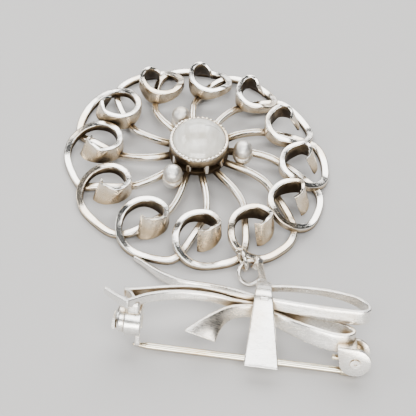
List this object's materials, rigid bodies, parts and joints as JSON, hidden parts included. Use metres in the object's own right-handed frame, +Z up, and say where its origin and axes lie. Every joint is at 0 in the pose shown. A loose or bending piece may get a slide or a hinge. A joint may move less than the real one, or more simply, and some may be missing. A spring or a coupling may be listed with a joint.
{
  "type": "bow brooch",
  "caption": "Bow-shaped bar brooch of silver ribbon strips with a hinged pin and turning catch, and a hanging wheel of curled strips around a domed white stone.",
  "frame": {"origin": "middle of the bounding box on the plane that the brooch lies on", "axes": "+Z up from the table it lies on, +Y from the bow towards the hanging wheel, +X along the bow to the right as seen from above"},
  "size_m": [0.0444, 0.055, 0.0087],
  "materials": {
    "wheel_silver": "hand polished, with brown tarnish in the recesses",
    "bow_silver": "hand polished, with fine scratches and tarnish at the joints",
    "pin_silver": "drawn wire, polished, with a pale yellow tint",
    "moonstone": "polished, milky and slightly translucent"
  },
  "bodies": {
    "root": {"scroll_wheel": "wheel_silver", "moonstone": "moonstone", "jump_ring": "bow_silver", "bow_frame": "bow_silver", "hinge_rivet": "bow_silver"},
    "pin": {"pin_stem": "pin_silver"},
    "lever": {"catch_lever": "bow_silver"}
  },
  "joints": [
    {"name": "pin_hinge", "type": "hinge", "parent": "root", "child": "pin", "pos_m": [0.02001, -0.02532, 0.00267], "axis": [-0.079, -0.9029, 0.4226], "range_deg": [-7.7, 90]},
    {"name": "catch_lever", "type": "hinge", "parent": "root", "child": "lever", "pos_m": [-0.00882, -0.02212, 0.00412], "axis": [0.9962, -0.0872, 0], "range_deg": [0, 100]}
  ]
}
